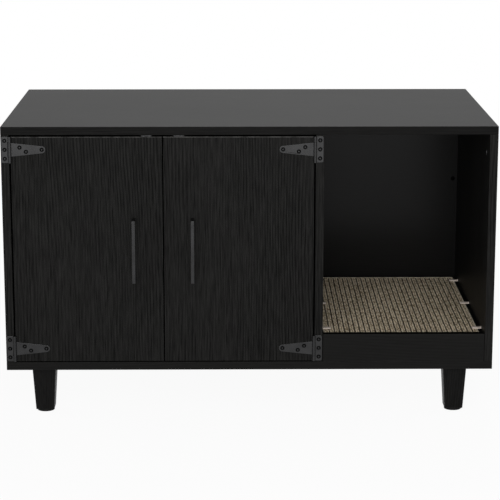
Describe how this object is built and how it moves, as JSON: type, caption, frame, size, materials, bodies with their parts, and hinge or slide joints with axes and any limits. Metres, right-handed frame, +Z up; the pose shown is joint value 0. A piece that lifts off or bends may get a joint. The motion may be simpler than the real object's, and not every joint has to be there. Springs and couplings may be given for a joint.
{
  "type": "pet crate end table",
  "caption": "Low cabinet on tapered legs: a cupboard with strap-hinged doors beside an open entrance bay with a ribbed mat on a raised floor, under a flat table top.",
  "frame": {"origin": "on the floor, under the middle of the object's bounding box, handles included", "axes": "+X to the right along the cabinet's width, -Y towards the front with the doors, +Z up"},
  "size_m": [0.9, 0.529, 0.543],
  "materials": {
    "board": "near-black wood-grain laminate, matt",
    "leg": "near-black painted wood, satin",
    "hinge": "dark grey, satin",
    "dark_screw": "dark grey, satin",
    "handle": "dark grey, satin",
    "zinc": "zinc-plated",
    "dowel": "raw beech",
    "mat": "natural fibre, coarse",
    "peg": "white, satin",
    "black_plastic": "black, matt",
    "magnet": "bare ferrite and steel"
  },
  "bodies": {
    "cabinet": {"top_panel": "board", "bottom_panel": "board", "left_side_panel": "board", "right_side_panel": "board", "divider_panel": "board", "cupboard_back": "board", "entrance_back": "board", "back_blocks": "black_plastic", "back_screws": "dark_screw", "fascia_board": "board", "left_cleat": "leg", "right_cleat": "leg", "cleat_screws": "zinc", "platform_board": "board", "scratch_mat": "mat", "mat_pegs": "peg", "leg_front_left": "leg", "leg_front_right": "leg", "leg_back_left": "leg", "leg_back_right": "leg", "leg_bolts": "zinc", "insert_nuts": "zinc", "foot_glides": "black_plastic", "cam_locks": "zinc", "cam_bolts": "zinc", "dowels": "dowel", "leaf_left_top": "hinge", "leaf_left_bottom": "hinge", "leaf_right_top": "hinge", "leaf_right_bottom": "hinge", "leaf_screws_all": "dark_screw", "hinge_pins": "hinge", "catch_housings": "black_plastic", "catch_magnets": "magnet", "catch_screws": "zinc"},
    "left_door": {"left_door_panel": "board", "left_strap_top": "hinge", "left_strap_bottom": "hinge", "left_strap_screws": "dark_screw", "left_handle": "handle", "left_handle_screws": "zinc", "left_strike_plate": "zinc", "left_strike_screw": "zinc"},
    "right_door": {"right_door_panel": "board", "right_strap_top": "hinge", "right_strap_bottom": "hinge", "right_strap_screws": "dark_screw", "right_handle": "handle", "right_handle_screws": "zinc", "right_strike_plate": "zinc", "right_strike_screw": "zinc"}
  },
  "joints": [
    {"name": "left_door_hinge", "type": "hinge", "parent": "cabinet", "child": "left_door", "pos_m": [-0.4335, -0.2385, 0.3155], "axis": [0, 0, -1], "range_deg": [0, 180]},
    {"name": "right_door_hinge", "type": "hinge", "parent": "cabinet", "child": "right_door", "pos_m": [0.1185, -0.2385, 0.3155], "axis": [0, 0, 1], "range_deg": [0, 180]}
  ]
}
